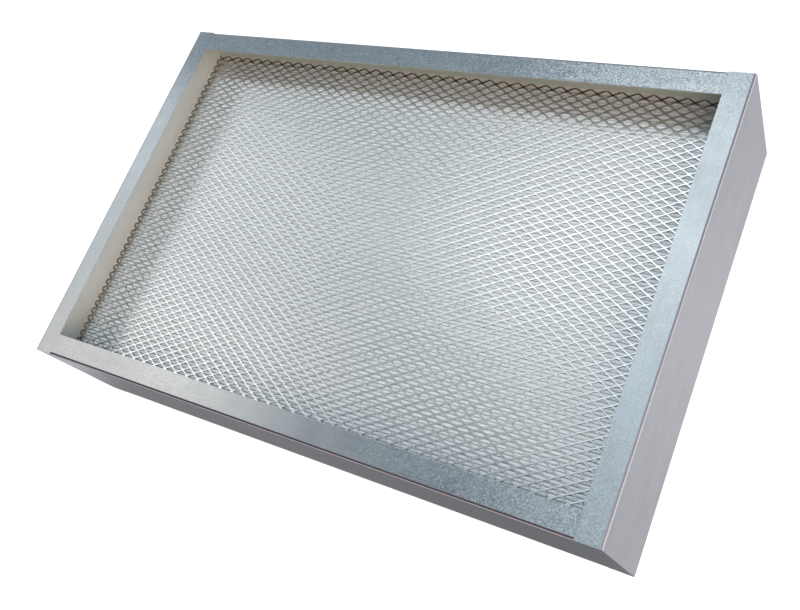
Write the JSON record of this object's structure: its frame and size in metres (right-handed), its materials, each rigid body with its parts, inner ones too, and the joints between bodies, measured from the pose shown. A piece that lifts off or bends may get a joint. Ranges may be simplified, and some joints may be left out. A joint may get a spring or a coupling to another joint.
{
  "type": "hepa filter",
  "caption": "Flat rectangular air filter: folded galvanised channel frame with a deep recessed face, a pleated paper pack and an expanded-metal guard over each side of it.",
  "frame": {"origin": "middle of the frame's back face", "axes": "+X along the long side, +Y along the short side, +Z from the back to the recessed front face"},
  "size_m": [0.5, 0.325, 0.1],
  "materials": {
    "galvanised_sheet": "fine zinc spangle, satin",
    "guard_metal": "bright slit and stretched sheet",
    "filter_paper": "matt glass-fibre paper, creased at the folds",
    "potting_resin": "cast resin, smooth",
    "bead_glue": "hot-melt glue, smooth"
  },
  "bodies": {
    "root": {"short_channel_left": "galvanised_sheet", "short_channel_right": "galvanised_sheet", "long_channel_near": "galvanised_sheet", "long_channel_far": "galvanised_sheet", "guard_front": "guard_metal", "guard_back": "guard_metal", "media_pack": "filter_paper", "potting": "potting_resin", "bead_row_front_1": "bead_glue", "bead_row_front_2": "bead_glue", "bead_row_front_3": "bead_glue", "bead_row_front_4": "bead_glue", "bead_row_front_5": "bead_glue", "bead_row_front_6": "bead_glue", "bead_row_front_7": "bead_glue", "bead_row_back_1": "bead_glue", "bead_row_back_2": "bead_glue", "bead_row_back_3": "bead_glue", "bead_row_back_4": "bead_glue", "bead_row_back_5": "bead_glue", "bead_row_back_6": "bead_glue", "bead_row_back_7": "bead_glue"}
  },
  "joints": []
}
